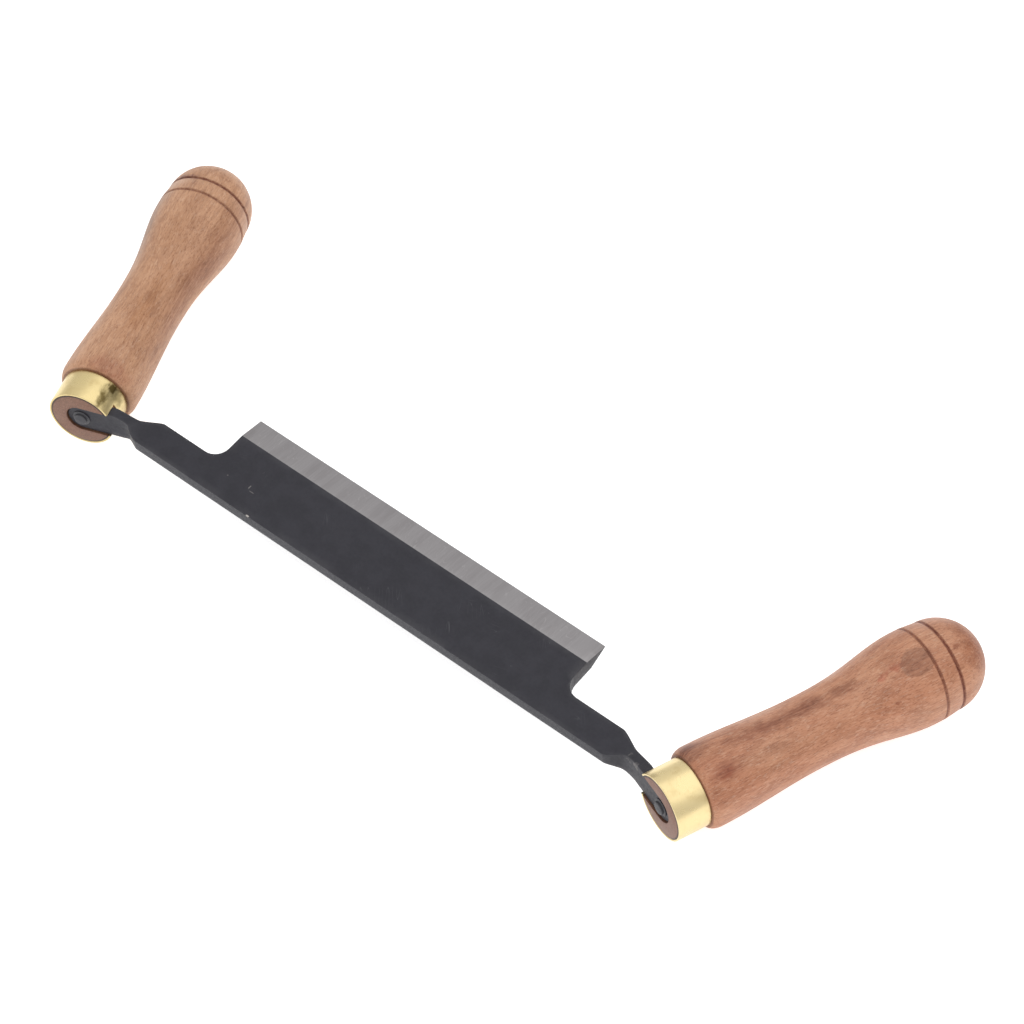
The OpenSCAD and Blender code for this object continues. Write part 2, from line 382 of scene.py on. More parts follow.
# How each neck was forged, in millimetres, for its four corners: front top, back top, back low
# and front low, where the front is the spine's side. A corner leaves the bar this far past the
# bar's end, passes through middle (past the bar's end, from the spine, above the back) in the
# direction heading, and joins the strip this far before the eye. The pulls say how long it keeps
# the bar's and the strip's direction. The two necks were hammered by hand and differ a little.
NECKS = {
    "left": {
        "leave": (2.6, -1.0, 0.0, 3.3),
        "middle": ((8.6, 2.7, 6.6), (7.6, 7.7, 5.6), (7.5, 7.3, -1.2), (9.6, 2.6, -2.1)),
        "heading": ((2.2, 2.4, 1.9), (5.0, -2.0, 1.0), (4.0, -1.5, -1.2), (3.0, 0.2, -0.6)),
        "join": (12.5, 12.5, 14.0, 16.0),
        "bar_pull": (6.0, 4.0, 4.0, 3.0),
        "strip_pull": (5.0, 6.0, 5.0, 3.0),
    },
    "right": {
        "leave": (-0.5, -0.5, 0.0, -0.5),
        "middle": ((6.8, 4.1, 6.2), (7.6, 8.4, 5.6), (7.5, 8.0, -1.2), (6.0, 2.6, -1.6)),
        "heading": ((5.0, 1.0, 1.0), (5.0, -2.2, 1.0), (4.0, -1.5, -1.2), (4.5, 1.0, -1.2)),
        "join": (12.5, 12.5, 14.0, 16.0),
        "bar_pull": (5.0, 5.0, 4.0, 4.5),
        "strip_pull": (5.0, 6.0, 5.0, 4.0),
    },
}
RING_ACROSS = 6
RING_DOWN = 4


def ring_points(corners):
    """A section of an arm as points from its front top corner, over the top, down the back and round."""
    points = []
    for i, count in enumerate((RING_ACROSS, RING_DOWN, RING_ACROSS, RING_DOWN)):
        start, end = corners[i], corners[(i + 1) % 4]
        points += [mix(start, end, j / count) for j in range(count)]
    return points


def arm_rings(blade, to_flat, neck):
    """Corners of the right arm's sections in the flat blade's frame, from the blade's end to the
    eye. to_flat turns a point in the handle's frame into the flat frame."""
    half, top = blade.edge_length / 2, blade.thickness
    rings = []

    def bar_corners(xs, width):
        spots = ((0, top), (width, top), (width, 0), (0, 0))
        return [Vector((x, y, z)) for x, (y, z) in zip(xs, spots)]

    notch_steps, bar_steps, neck_steps, strip_steps, eye_steps = 8, 8, 12, 8, 12
    r = blade.notch_radius
    for i in range(notch_steps + 1):
        a = math.pi / 2 * i / notch_steps
        x = half + r * (1 - math.cos(a))
        rings.append(bar_corners([x] * 4, blade.bar_width + r * (1 - math.sin(a))))
    bar_end = half + blade.bar_length
    for i in range(1, bar_steps + 1):
        xs = [mix(half + r, bar_end + leave * MM, i / bar_steps) for leave in neck["leave"]]
        rings.append(bar_corners(xs, blade.bar_width))
    start = rings[-1]

    front, back = STRIP_AT, STRIP_AT + blade.strip_thickness
    high = blade.strip_height / 2

    def strip_corners(xs, height):
        spots = ((front, height), (back, height), (back, -height), (front, -height))
        return [to_flat @ Vector((x, s, z)) for x, (s, z) in zip(xs, spots)]

    joins = [-join * MM for join in neck["join"]]
    root = strip_corners(joins, high)
    out = to_flat.to_3x3() @ Vector((1, 0, 0))
    past_bar = Vector((bar_end, 0, 0))
    middle = [past_bar + Vector(point) * MM for point in neck["middle"]]
    heading = [Vector(direction) * MM for direction in neck["heading"]]
    leaving = [Vector((pull * MM, 0, 0)) for pull in neck["bar_pull"]]
    arriving = [out * pull * MM for pull in neck["strip_pull"]]
    for first, pull, last, reach in ((start, leaving, middle, heading), (middle, heading, root, arriving)):
        for i in range(1, neck_steps + 1):
            t = i / neck_steps
            rings.append([hermite(first[k], pull[k], last[k], reach[k], t) for k in range(4)])
    for i in range(1, strip_steps + 1):
        rings.append(strip_corners([join * (1 - i / strip_steps) for join in joins], high))
    for i in range(1, eye_steps + 1):
        a = math.pi / 2 * i / eye_steps
        rings.append(strip_corners([high * math.sin(a)] * 4, high * math.cos(a)))
    return rings


def half_blade(bm, rounding, blade, to_flat, side):
    """One half of the forging in its flat frame: rings along the arm, then rows across the blade."""
    half, top, sign = blade.edge_length / 2, blade.thickness, SIDES[side]
    across, down = RING_ACROSS, RING_DOWN
    notch_y = blade.bar_width + blade.notch_radius

    def vert(x, y, z):
        return bm.verts.new((sign * x, y, z))

    def face(*verts, ground=False):
        kept = []
        for v in verts:
            if v not in kept:
                kept.append(v)
        if len(kept) > 2:
            made = bm.faces.new(kept)
            made.material_index = 1 if ground else 0

    def weigh(a, b, weight=1.0):
        line = bm.edges.get((a, b))
        if line is not None:
            line[rounding] = weight

    rings = arm_rings(blade, to_flat, NECKS[side])
    arm = [[vert(*p) for p in ring_points(ring)] for ring in rings]
    count = len(arm[0])
    for low, high in zip(arm, arm[1:]):
        for i in range(count):
            j = (i + 1) % count
            face(low[i], low[j], high[j], high[i])
        for i in (0, across, across + down, 2 * across + down):
            weigh(low[i], high[i])

    # The blade: inner rows run on from the arm, outer rows carry the two bevels
    stations = 20
    outer_flat, outer_ground = 3, 4
    face_line, back_line = blade.width - blade.face_bevel, blade.width - blade.back_bevel
    edge = (blade.width, blade.edge_height)
    top_outer = [(mix(notch_y, face_line, i / outer_flat), top) for i in range(1, outer_flat + 1)]
    top_outer += [
        (mix(face_line, edge[0], i / outer_ground), mix(top, edge[1], i / outer_ground))
        for i in range(1, outer_ground)]
    low_outer = [(mix(notch_y, back_line, i / outer_flat), 0.0) for i in range(1, outer_flat + 1)]
    low_outer += [
        (mix(back_line, edge[0], i / outer_ground), mix(0.0, edge[1], i / outer_ground))
        for i in range(1, outer_ground)]

    def outer_rows(x):
        made_top = [vert(x, y, z) for y, z in top_outer]
        made_low = [vert(x, y, z) for y, z in low_outer]
        return made_top + [vert(x, *edge)] + list(reversed(made_low))

    inner_index = [i % count for i in range(across + down, count + across + 1)]
    previous_inner = [arm[0][i] for i in inner_index]
    previous_outer = outer_rows(half)
    wall = [arm[0][i] for i in range(across, across + down + 1)]
    face(*previous_outer, *reversed(wall))
    # The end's outline is rounded, apart from two steps on each side of the cutting edge
    rim = [wall[0]] + previous_outer + [wall[-1]]
    tip = 1 + len(top_outer)
    for k, (a, b) in enumerate(zip(rim, rim[1:])):
        if not tip - 2 <= k < tip + 2:
            weigh(a, b, 0.8)
    for i in range(1, stations + 1):
        x = half * (1 - i / stations)
        inner = [vert(x, v.co.y, v.co.z) for v in previous_inner]
        outer = outer_rows(x)
        whole, whole_before = inner + outer, previous_inner + previous_outer
        total = len(whole)
        ground_rows = range(len(inner) + outer_flat - 1, total - outer_flat)
        for k in range(total):
            n = (k + 1) % total
            face(whole_before[k], whole_before[n], whole[n], whole[k], ground=k in ground_rows)
        for k in (across, across + down, total - outer_flat):
            weigh(whole_before[k], whole[k])
        previous_inner, previous_outer = inner, outer


def blade_mesh(blade, to_flat):
    """The forging in its flat frame: two halves, welded in the middle."""
    bm = bmesh.new()
    rounding = bm.edges.layers.float.new("bevel_weight_edge")
    for side in SIDES:
        half_blade(bm, rounding, blade, to_flat, side)
    bmesh.ops.remove_doubles(bm, verts=bm.verts, dist=0.005 * MM)
    bmesh.ops.recalc_face_normals(bm, faces=bm.faces)
    mesh = bpy.data.meshes.new("forged_blade")
    bm.to_mesh(mesh)
    bm.free()
    return mesh


# ---------------------------------------------------------------- profiles

def wave(t):
    """Smooth step from 0 to 1."""
    return (1 - math.cos(math.pi * t)) / 2


def groove(radius, middle, width, depth):
    """Points of a turned V-groove with a narrow flat at its bottom."""
    lip, bottom = width / 2, 0.12 * MM
    return [
        (radius, middle - lip), (radius - 0.15 * depth, middle - 0.82 * lip),
        (radius - depth, middle - bottom), (radius - depth, middle + bottom),
        (radius - 0.15 * depth, middle + 0.82 * lip), (radius, middle + lip)]


def butt_heights(handle, fitting):
    """Centre of the round butt, and the washer's outer and inner faces, along the handle."""
    centre = handle.length - handle.butt_radius
    seat_r = fitting.washer_diameter / 2 + CLEARANCE
    top = centre + math.sqrt(handle.butt_radius ** 2 - seat_r ** 2)
    return centre, top, top - fitting.washer_thickness


def handle_profile(handle, fitting):
    """Closed profile of the handle: bore, spigot, shoulder, waist, bulb, grooves and round butt."""
    soften = 0.35 * MM
    bore_r = fitting.rod_diameter / 2 + CLEARANCE
    spigot_r = fitting.ferrule_diameter / 2 - fitting.ferrule_wall - CLEARANCE
    start, shoulder_round = fitting.ferrule_length, 4 * MM
    start_r = fitting.ferrule_diameter / 2 + 0.3 * MM
    shoulder_r, waist_r, bulb_r = handle.shoulder / 2, handle.waist / 2, handle.bulb / 2
    shoulder_at = start + shoulder_round
    centre, washer_top, washer_seat = butt_heights(handle, fitting)
    points = [(bore_r, 0.0), (spigot_r - soften, 0.0), (spigot_r - 0.1 * soften, 0.35 * soften)]
    points += [(spigot_r, soften), (spigot_r, start - 0.1 * MM), (spigot_r, start)]
    for i in range(9):
        a = math.pi / 2 * i / 8
        points.append((mix(start_r, shoulder_r, math.sin(a)), start + shoulder_round * (1 - math.cos(a))))
    waist_steps, bulb_steps = 24, 26
    for i in range(1, waist_steps + 1):
        t = i / waist_steps
        points.append((mix(shoulder_r, waist_r, wave(t)), mix(shoulder_at, handle.waist_at, t)))
    for i in range(1, bulb_steps + 1):
        t = i / bulb_steps
        points.append((mix(waist_r, bulb_r, wave(t ** 1.35)), mix(handle.waist_at, handle.bulb_at, t)))
    inner_groove = handle.bulb_at + handle.groove_at
    points += groove(bulb_r, inner_groove, handle.groove_width, handle.groove_depth)
    rim = inner_groove + handle.groove_width
    points.append((mix(bulb_r, handle.butt_radius, 0.1), rim))
    points += groove(handle.butt_radius, centre, handle.groove_width, handle.groove_depth)
    first = math.asin(0.55 * handle.groove_width / handle.butt_radius)
    last = math.asin((washer_top - centre) / handle.butt_radius)
    butt_steps = 22
    for i in range(butt_steps + 1):
        a = mix(first, last, i / butt_steps)
        points.append((handle.butt_radius * math.cos(a), centre + handle.butt_radius * math.sin(a)))
    seat_r = fitting.washer_diameter / 2 + CLEARANCE
    points += [(seat_r, washer_seat), (bore_r, washer_seat)]
    return points


def rounded(corners, radius, steps=4):
    """A closed outline of (r, s) corners with each corner rounded."""
    points = []
    count = len(corners)
    for i, corner in enumerate(corners):
        here = Vector(corner)
        before = (Vector(corners[i - 1]) - here).normalized()
        after = (Vector(corners[(i + 1) % count]) - here).normalized()
        start, end = here + before * radius, here + after * radius
        for j in range(steps + 1):
            t = j / steps
            spot = start * (1 - t) ** 2 + here * 2 * t * (1 - t) + end * t * t
            points.append((spot.x, spot.y))
    return points


def ferrule_profile(fitting):
    outer = fitting.ferrule_diameter / 2
    inner = outer - fitting.ferrule_wall
    length = fitting.ferrule_length
    return rounded([(inner, 0), (outer, 0), (outer, length), (inner, length)], 0.3 * MM)


def rod_profile(handle, fitting):
    """Rod with a flat riveted head at the eye and a domed one over the washer, solid to the axis."""
    rod_r, head_r, head_h = fitting.rod_diameter / 2, fitting.head_diameter / 2, fitting.head_height
    seat, burr_h = STRIP_AT, 1.1 * MM
    _, washer_top, _ = butt_heights(handle, fitting)
    points = [(0.0, seat - head_h), (0.56 * head_r, seat - head_h), (0.68 * head_r, seat - 0.95 * head_h)]
    points += [(0.74 * head_r, seat - 0.82 * head_h), (0.76 * head_r, seat - 0.42 * head_h)]
    points += [(0.8 * head_r, seat - 0.36 * head_h), (0.93 * head_r, seat - 0.34 * head_h)]
    points += [(head_r, seat - 0.24 * head_h), (head_r, seat - 0.05 * MM), (head_r - 0.05 * MM, seat)]
    points += [(rod_r, seat), (rod_r, washer_top)]
    dome = 8
    for i in range(dome + 1):
        a = math.pi / 2 * i / dome
        swell = head_r * (0.35 + 0.65 * math.cos(a)) if i < dome else 0.0
        points.append((swell, washer_top + burr_h * math.sin(a)))
    return points


def washer_profile(handle, fitting):
    _, top, seat = butt_heights(handle, fitting)
    inner = fitting.rod_diameter / 2 + CLEARANCE
    outer = fitting.washer_diameter / 2
    return rounded([(inner, seat), (outer, seat), (outer, top), (inner, top)], 0.15 * MM, 2)


# ---------------------------------------------------------------- materials

def linear(hex_colour, alpha=1.0):
    """sRGB hex to linear colour."""
    channels = [int(hex_colour[i:i + 2], 16) / 255 for i in (0, 2, 4)]
    turned = [c / 12.92 if c <= 0.04045 else ((c + 0.055) / 1.055) ** 2.4 for c in channels]
    return (*turned, alpha)


def new_material(name):
    """A material, its nodes and the place on the piece that its patterns follow."""
    material = bpy.data.materials.new(name)
    material.use_nodes = True
    tree = material.node_tree
    tree.nodes.clear()
    return material, tree, add(tree, "ShaderNodeAttribute", out="Vector", attribute_name="place")


def finish_surface(tree, lift, strength, depth, inputs):
    """Ends a material with its shader, which is bumped by lift to a depth in millimetres."""
    bump = add(tree, "ShaderNodeBump", {"Strength": strength, "Distance": depth * MM, "Height": lift})
    shader = add(tree, "ShaderNodeBsdfPrincipled", {**inputs, "Normal": bump})
    add(tree, "ShaderNodeOutputMaterial", {"Surface": shader})


def coats(tree, colour, layers):
    """Lays coats over a colour in order. Each is a colour, how much of it there is, and whether
    it covers what is under it (MIX) or darkens it (MULTIPLY)."""
    for over, amount, blend in layers:
        over = linear(over) if isinstance(over, str) else over
        colour = add(
            tree, "ShaderNodeMix", {0: amount, 6: colour, 7: over}, 2, data_type="RGBA", blend_type=blend)
    return colour


def cloud(tree, spot, size, detail=2.0, rough=0.5, shift=0.0):
    """Noise from 0 to 1 whose lumps are size millimetres along x, y and z."""
    space = add(tree, "ShaderNodeMapping", {
        "Vector": spot, "Location": (shift, 1.7 * shift, 2.3 * shift),
        "Scale": [1 / (length * MM) for length in size]})
    return add(tree, "ShaderNodeTexNoise", {
        "Vector": space, "Scale": 1.0, "Detail": detail, "Roughness": rough})


def patches(tree, spot, size, detail, rough, shift, low, high, start=0.0, end=1.0):
    """Clouds with a step in them: start where the noise is under low, and end where it is over high."""
    noise = cloud(tree, spot, size, detail, rough, shift)
    return add(tree, "ShaderNodeMapRange", (noise, low, high, start, end), **SMOOTH)


def hairlines(tree, spot, turn, length, gap, cover, shift):
    """Fine scratches, 1 on a scratch and 0 off it. turn is their angle about z, length and gap
    their usual length and spacing in millimetres, and cover the share of the surface that has them."""
    turned = add(tree, "ShaderNodeMapping", {"Vector": spot, "Rotation": (0, 0, turn)})
    waves = cloud(tree, turned, (length, gap, gap), 0.0, 0.5, shift)
    off = add(tree, "ShaderNodeMath", (waves, 0.5), operation="SUBTRACT")
    off = add(tree, "ShaderNodeMath", [off], operation="ABSOLUTE")
    line = add(tree, "ShaderNodeMapRange", (off, 0.003, 0.014, 1.0, 0.0), **SMOOTH)
    bare = 0.68 - cover * 0.4
    where = patches(tree, spot, (14, 14, 14), 2.0, 0.5, shift + 5, bare, bare + 0.1)
    return add(tree, "ShaderNodeMath", (line, where), operation="MULTIPLY")


def stain_and_reflection(tree, spot, centre, reach, ragged, soft, strength):
    """How much of a mark lies at a spot, from its strength in the middle to 0 outside: stains and
    rubbed places, and painted reflections on the brass and the left handle. centre and reach are in
    millimetres in the piece's frame. ragged bends its outline and soft blurs it."""
    scale = [1 / (length * MM) for length in reach]
    move = [-c * MM * k for c, k in zip(centre, scale)]
    away = add(tree, "ShaderNodeMapping", {"Vector": spot, "Location": move, "Scale": scale})
    length = add(tree, "ShaderNodeVectorMath", [away], "Value", operation="LENGTH")
    size = min(reach) * 0.7
    bend = cloud(tree, spot, (size, size * 2, size), 3.0, 0.6, sum(centre))
    bend = add(tree, "ShaderNodeMath", (bend, 0.5), operation="SUBTRACT")
    bend = add(tree, "ShaderNodeMath", (bend, 2.4 * ragged), operation="MULTIPLY")
    length = add(tree, "ShaderNodeMath", (length, bend), operation="ADD")
    return add(tree, "ShaderNodeMapRange", (length, 1 - soft, 1.0, strength, 0.0), **SMOOTH)


def line_round(tree, along, at, near, far, strength):
    """A line round a handle: strength where it is near, and 0 where it is far."""
    off = add(tree, "ShaderNodeMath", (along, at), operation="SUBTRACT")
    off = add(tree, "ShaderNodeMath", [off], operation="ABSOLUTE")
    return add(tree, "ShaderNodeMapRange", (off, near, far, strength, 0.0), **SMOOTH)


# Marks in the wood of each handle, and a painted grey reflection on the left one: middle and reach
# in millimetres in the handle's frame (x outwards, y towards the butt, z up), then how ragged and
# soft the mark is, its colour as sRGB hex that darkens the wood, and its strength
WOOD_MARKS_AND_PAINTED_REFLECTION = {
    "left": (
        ((-5, 50, 12), (5, 34, 6), 0.5, 0.9, "E3D0B5", 0.8),
        ((-2, 88, 14), (9, 20, 7), 0.5, 1.0, "E6DCD0", 1.0),
        ((-7, 15, 12), (16, 7, 9), 0.5, 0.8, "E4CEC8", 0.9),
        ((-15, 70, 5), (11, 68, 12), 0.3, 1.0, "BCA294", 0.9),
        # Painted grey reflection: darker and greyer along the left handle's outer side
        ((14, 88, 8), (10, 42, 11), 0.4, 1.0, "BAB8B8", 0.95),
        ((8, 112.5, 14), (9, 1.4, 6), 0.5, 0.7, "9A6A5A", 0.8),
        ((0, 0, 0), (7.4, 2, 7.4), 0.3, 0.3, "A88C7C", 0.8),
    ),
    "right": (
        ((-2, 48, 13), (4.6, 32, 6), 0.7, 1.0, "BC9E90", 0.95),
        ((-1, 70, 13), (3.4, 16, 5), 0.8, 1.0, "C2A89C", 0.9),
        ((-7, 16, 12), (9, 8, 7), 0.3, 1.0, "9C8076", 1.0),
        ((6, 22, 13), (6, 8, 6), 0.5, 1.0, "C49882", 1.0),
        ((3, 122, 10), (18, 9, 16), 0.4, 0.9, "CCA988", 1.0),
        ((2, 91.5, 16), (2.2, 4.2, 2.2), 0.8, 0.8, "E2AE9E", 0.8),
        ((2.7, 86, 15), (1.6, 2.4, 1.6), 0.8, 0.6, "E2AA9E", 0.7),
        ((4.9, 114.5, 15.7), (1.4, 2.0, 1.4), 0.7, 0.6, "C09C84", 0.8),
        ((11.5, 87, 10.5), (0.8, 1.4, 0.8), 0.6, 0.6, "C0A090", 0.8),
        ((3.8, 99, 16.6), (5.4, 6.2, 5.4), 0.35, 0.12, "D8D4D2", 1.0),
        ((0, 0, 0), (7.4, 2, 7.4), 0.4, 0.3, "A88C7C", 0.8),
    ),
}


def beech(name, hex_colour, side, shift, grooves, groove_width, shoulder, spigot):
    """Steamed beech, turned and oiled. It shows short dark ray flecks and fine pores along the
    grain, wavy growth rings where the lathe cut across them, warmer and greyer stains, a painted
    grey reflection along the left handle's outer side, darker brown lines in the two grooves,
    painted shade at the ferrule and in the sawn slot, dotted end grain, and a low sheen."""
    material, tree, spot = new_material(name)
    across, along, up = add(tree, "ShaderNodeSeparateXYZ", [spot]).node.outputs

    bend = cloud(tree, spot, (26, 60, 26), 2.0, 0.5, shift + 7)
    bend = add(tree, "ShaderNodeMath", (bend, 11 * MM), operation="MULTIPLY")
    heart = add(tree, "ShaderNodeMapping", {
        "Vector": spot, "Location": (0.026, -0.004, 0.02), "Rotation": (0.1, 0, 0.06), "Scale": (1, 0.12, 1)})
    rings = add(tree, "ShaderNodeVectorMath", [heart], "Value", operation="LENGTH")
    rings = add(tree, "ShaderNodeMath", (rings, bend), operation="ADD")
    rings = add(tree, "ShaderNodeMath", (rings, 2 * math.pi / (2.6 * MM)), operation="MULTIPLY")
    rings = add(tree, "ShaderNodeMath", [rings], operation="SINE")
    rings = add(tree, "ShaderNodeMapRange", (rings, 0.0, 1.0), **SMOOTH)
    clear = patches(tree, spot, (14, 26, 14), 1.0, 0.5, shift + 9, 0.35, 0.65, 0.06, 0.3)
    rings = add(tree, "ShaderNodeMath", (rings, clear), operation="MULTIPLY")
    fibre = cloud(tree, spot, (0.5, 4.6, 0.5), 4.0, 0.7, shift)
    fleck_space = add(tree, "ShaderNodeMapping", {
        "Vector": spot, "Location": (shift, shift, shift),
        "Scale": [1 / (size * MM) for size in (0.5, 1.9, 0.5)]})
    flecks = add(tree, "ShaderNodeTexVoronoi", {
        "Vector": fleck_space, "Scale": 1.0, "Randomness": 1.0}, "Distance", feature="F1")
    layers = [
        ("D4A684", patches(tree, spot, (9, 34, 9), 3.0, 0.55, shift, 0.3, 0.7, 0.0, 0.3), "MIX"),
        ("D6C8BE", patches(tree, spot, (3.6, 13, 3.6), 4.0, 0.62, shift + 3, 0.42, 0.66, 0.0, 0.5),
         "MULTIPLY"),
        ("CFC0B4", rings, "MULTIPLY"),
        ("C4AC9C", add(tree, "ShaderNodeMapRange", (fibre, 0.46, 0.68, 0.0, 0.6), **SMOOTH), "MULTIPLY"),
        ("E8CCB4", patches(tree, spot, (0.55, 2.6, 0.55), 3.0, 0.7, shift + 2, 0.5, 0.7, 0.0, 0.2), "MIX"),
        ("B89C8A", add(tree, "ShaderNodeMapRange", (flecks, 0.14, 0.34, 0.5, 0.0), **SMOOTH), "MULTIPLY"),
    ]

    # Stains, and the painted grey reflection, follow the grain in streaks
    streak = patches(tree, spot, (0.8, 16, 0.8), 3.0, 0.6, shift + 6, 0.35, 0.6, 0.6, 1.0)
    for centre, reach, ragged, soft, tint, strength in WOOD_MARKS_AND_PAINTED_REFLECTION[side]:
        there = stain_and_reflection(tree, spot, centre, reach, ragged, soft, strength)
        there = add(tree, "ShaderNodeMath", (there, streak), operation="MULTIPLY")
        layers.append((tint, there, "MULTIPLY"))

    # The grooves are darkened brown, unevenly; the thin dark line at the shoulder's rim, where the wood meets
    # the ferrule, is painted shade
    torn = patches(tree, spot, (1.6, 0.5, 1.6), 3.0, 0.7, shift, 0.3, 0.6, 0.45, 1.0)
    for groove_at, strength in zip(grooves, (0.75, 1.0)):
        groove_darkening = line_round(tree, along, groove_at, 0.2 * groove_width, 0.75 * groove_width, strength)
        groove_darkening = add(tree, "ShaderNodeMath", (groove_darkening, torn), operation="MULTIPLY")
        layers.append(("A07463", groove_darkening, "MULTIPLY"))
    # Painted shade: a thin dark line where the wood meets the ferrule
    layers.append(("6E4434", line_round(tree, along, shoulder, 0.05 * MM, 0.3 * MM, 0.5), "MULTIPLY"))

    # End grain is greyer and dotted with pores
    end_grain = coats(tree, linear("785241"), (
        ("573427", patches(tree, spot, (0.35, 0.35, 0.35), 2.0, 0.6, shift, 0.42, 0.62), "MIX"),
        ("563627", patches(tree, spot, (1.4, 1.4, 1.4), 3.0, 0.65, shift + 4, 0.35, 0.65, 0.0, 0.6), "MIX"),
    ))
    end = add(tree, "ShaderNodeMapRange", (along, 0.15 * MM, 0.5 * MM, 0.85, 0.0), **SMOOTH)
    layers.append((end_grain, end, "MIX"))

    # Painted shade: the rim of the end face, in the gap against the ferrule, and the walls of the sawn
    # slot are darkened as shade. Each is where all of its steps meet: a coordinate, the millimetres
    # between which the step lies, and its two ends
    flat = add(tree, "ShaderNodeCombineXYZ", {0: across, 2: up})
    radius = add(tree, "ShaderNodeVectorMath", [flat], "Value", operation="LENGTH")
    rim = spigot / MM
    for tint, steps in (
        ("3A261C", ((radius, rim - 0.8, rim - 0.35, 0.0, 0.95), (along, 0.6, 1.2, 1.0, 0.0))),
        ("4A3226", ((radius, rim - 0.6, rim - 0.3, 0.8, 0.0), (along, 0.1, 0.5, 0.0, 1.0),
                    (along, 7, 8, 1.0, 0.0))),
    ):
        amount = 1.0
        for place_on, low, high, start, finish in steps:
            step = add(tree, "ShaderNodeMapRange", (place_on, low * MM, high * MM, start, finish), **SMOOTH)
            amount = add(tree, "ShaderNodeMath", (step, amount), operation="MULTIPLY")
        layers.append((tint, amount, "MIX"))

    lift = add(tree, "ShaderNodeMath", (flecks, 0.4, fibre), operation="MULTIPLY_ADD")
    finish_surface(tree, lift, 0.3, 0.06, {
        "Base Color": coats(tree, linear(hex_colour), layers),
        "Roughness": patches(tree, spot, (12, 20, 12), 3.0, 0.6, shift + 1, 0.3, 0.7, 0.42, 0.56)})
    return material


# Painted dark reflections on each ferrule, olive patches where the brass would mirror a dark part
# of the room: middle and reach in millimetres in the handle's frame, then how ragged and soft each
# is, and its strength
BRASS_PAINTED_REFLECTIONS = {
    "left": (
        ((-9.0, 10.6, 8.6), (3.0, 3.4, 3.0), 0.8, 0.8, 1.0),
        ((-8.0, 5.0, 9.6), (3.0, 6.5, 3.0), 0.7, 0.9, 0.95),
        ((-11.5, 9.0, 5.0), (3.5, 5.0, 4.0), 0.6, 0.9, 0.7),
    ),
    "right": (
        ((-6.0, 1.0, 11.0), (3.0, 2.0, 2.0), 0.8, 0.9, 0.3),
    ),
}


def brass(name, hex_colour, marks):
    """Drawn brass tube, polished on the lathe: warm yellow with a soft broad reflection, faint
    lines round it, a few hairline scratches, duller finger marks, and painted dark reflections
    in olive patches."""
    material, tree, spot = new_material(name)
    lines = cloud(tree, spot, (20, 0.25, 20), 3.0)
    smudge = cloud(tree, spot, (6, 6, 6), 3.0, 0.6, 4)
    scratch = hairlines(tree, spot, 0.5, 9, 0.8, 0.5, 2)
    scored = add(tree, "ShaderNodeMath", (scratch, 0.35), operation="MULTIPLY")
    layers = [
        ("D6CAB8", add(tree, "ShaderNodeMapRange", (smudge, 0.5, 0.75, 0.0, 0.35), **SMOOTH), "MULTIPLY"),
        ("9C8450", scored, "MIX"),
    ]
    # Painted dark reflections, olive, over the brass
    layers += [("746E5A", stain_and_reflection(tree, spot, *mark), "MULTIPLY") for mark in marks]
    dull = add(tree, "ShaderNodeMapRange", (smudge, 0.3, 0.7, 0.26, 0.38), **SMOOTH)
    lift = add(tree, "ShaderNodeMath", (scratch, -0.6, lines), operation="MULTIPLY_ADD")
    finish_surface(tree, lift, 0.2, 0.02, {
        "Base Color": coats(tree, linear(hex_colour), layers), "Metallic": 1.0,
        "Roughness": add(tree, "ShaderNodeMath", (scratch, 0.1, dull), operation="MULTIPLY_ADD")})
    return material


# Rubbed places on the forging: middle and reach in millimetres in the flat blade's frame, how
# ragged and soft each is, and its strength
STEEL_MARKS = (
    ((-55.0, 0.2, 5.5), (0.9, 0.4, 0.4), 0.3, 0.4, 1.0),
    ((-62.6, 9.8, 5.6), (0.3, 1.1, 0.4), 0.5, 0.5, 0.28),
    ((-60.6, 8.6, 5.6), (1.4, 0.25, 0.4), 0.4, 0.5, 0.2),
    ((-72.5, 9.0, 5.6), (0.4, 0.4, 0.4), 0.4, 0.5, 0.15),
    ((116.0, 5.0, 5.0), (3.5, 2.0, 1.6), 0.9, 0.9, 0.18),
    ((119.5, 3.0, 6.5), (2.6, 1.5, 2.0), 0.9, 0.9, 0.25),
)


def black_oxide(name, marks=(), shine=0.36):
    """Forged steel under a matte black oxide coat: an even blue-black with a fine tooth, greyer
    and brighter where its edges are rubbed, and on the rods' sharp edges as a painted highlight,
    with a few hairline scratches."""
    material, tree, spot = new_material(name)
    wear_and_highlight = add(tree, "ShaderNodeAttribute", out="Fac", attribute_name="wear_and_highlight")
    tooth = cloud(tree, spot, (1.1, 1.1, 1.1), 4.0, 0.6)
    patchy = patches(tree, spot, (10, 10, 10), 3.0, 0.5, 0.0, 0.35, 0.65, 0.1, 0.4)
    scratch = add(tree, "ShaderNodeMath", (
        hairlines(tree, spot, 0.9, 16, 1.6, 0.15, 1), hairlines(tree, spot, -0.4, 12, 2.0, 0.1, 8)),
        operation="MAXIMUM")
    layers = [
        ("28272F", patches(tree, spot, (7, 7, 7), 4.0, 0.6, 3, 0.35, 0.65), "MIX"),
        # Lighter on sharp edges: rubbed wear on the blade, a painted highlight on the rods' heads
        ("6E6D6E", add(tree, "ShaderNodeMath", (wear_and_highlight, patchy), operation="MULTIPLY"), "MIX"),
        ("5C5C60", add(tree, "ShaderNodeMath", (scratch, 0.4), operation="MULTIPLY"), "MIX"),
    ]
    layers += [("B0AAA4", stain_and_reflection(tree, spot, *mark), "MIX") for mark in marks]
    lift = add(tree, "ShaderNodeMath", (scratch, -0.5, tooth), operation="MULTIPLY_ADD")
    finish_surface(tree, lift, 0.22, 0.03, {
        "Base Color": coats(tree, linear("222129"), layers), "Specular IOR Level": shine,
        "Roughness": add(tree, "ShaderNodeMapRange", (tooth, 0.3, 0.7, 0.44, 0.58), **SMOOTH)})
    return material


